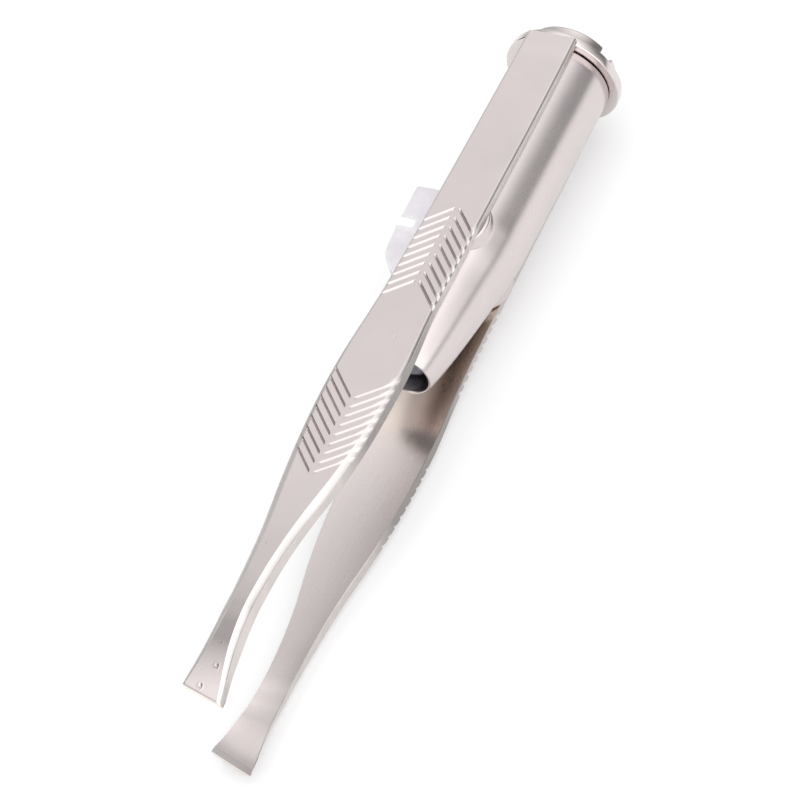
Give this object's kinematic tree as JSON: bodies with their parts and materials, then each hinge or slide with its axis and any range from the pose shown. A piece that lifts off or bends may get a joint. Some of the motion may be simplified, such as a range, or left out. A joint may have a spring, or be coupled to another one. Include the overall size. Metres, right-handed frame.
{
  "type": "slant tweezers",
  "caption": "Slant-tip tweezers with two sprung stamped arms on a battery tube, with a lamp in the conical nose, a thumb slide and a coin-slot end cap.",
  "frame": {"origin": "middle of the flat belly of the lower arm's outer face, the lowest face of the part", "axes": "+X to the right across the arms, +Y along the tube towards the end cap, +Z from the lower arm to the upper arm; the tips point to -Y"},
  "size_m": [0.016, 0.0962, 0.0165],
  "materials": {
    "satin_steel": "satin stamped stainless steel",
    "polished_steel": "polished stainless steel",
    "nickel_plate": "nickel-plated contact metal",
    "spring_steel": "drawn spring wire",
    "cell_can": "nickel-plated button cell can",
    "translucent_white": "translucent white moulding",
    "black_plastic": "matt black insulating moulding",
    "lamp_epoxy": "clear lamp epoxy"
  },
  "bodies": {
    "tube_body": {"lamp_tube": "polished_steel", "upper_arm_root": "satin_steel", "lower_arm_root": "satin_steel", "battery_sleeve": "black_plastic", "cell_1": "cell_can", "cell_2": "cell_can", "cell_3": "cell_can", "front_contact": "nickel_plate", "led_holder": "black_plastic", "led_lamp": "lamp_epoxy", "led_anode_lead": "nickel_plate", "led_cathode_lead": "nickel_plate"},
    "upper_blade": {"upper_arm_blade": "satin_steel"},
    "lower_blade": {"lower_arm_blade": "satin_steel"},
    "switch": {"switch_knob": "translucent_white", "switch_carrier": "black_plastic", "switch_contact": "nickel_plate"},
    "cap_inner": {"cap_contact_plate": "nickel_plate", "battery_spring": "spring_steel"},
    "cap": {"end_cap": "polished_steel"}
  },
  "joints": [
    {"name": "upper_arm_squeeze", "type": "hinge", "parent": "tube_body", "child": "upper_blade", "pos_m": [0, 0.0475, 0.01494], "axis": [1, 0, 0], "range_deg": [0, 5.6], "stiffness_Nm_per_rad": 0.6},
    {"name": "lower_arm_squeeze", "type": "hinge", "parent": "tube_body", "child": "lower_blade", "pos_m": [0, 0.0475, 0.00158], "axis": [1, 0, 0], "range_deg": [-5.6, 0], "stiffness_Nm_per_rad": 0.6},
    {"name": "lamp_switch", "type": "slide", "parent": "tube_body", "child": "switch", "axis": [0, -1, 0], "range_m": [0, 0.002]},
    {"name": "cap_lift", "type": "slide", "parent": "tube_body", "child": "cap_inner", "axis": [0, 1, 0], "range_m": [0, 0.003]},
    {"name": "cap_unscrew", "type": "hinge", "parent": "cap_inner", "child": "cap", "pos_m": [0, 0.0795, 0.00826], "axis": [0, 1, 0], "range_deg": [0, 1440.5]}
  ],
  "couplings": [
    {"joint": "lower_arm_squeeze", "follows": "upper_arm_squeeze", "ratio": -1},
    {"joint": "cap_unscrew", "follows": "cap_lift", "rad_per_m": 8377.6}
  ]
}
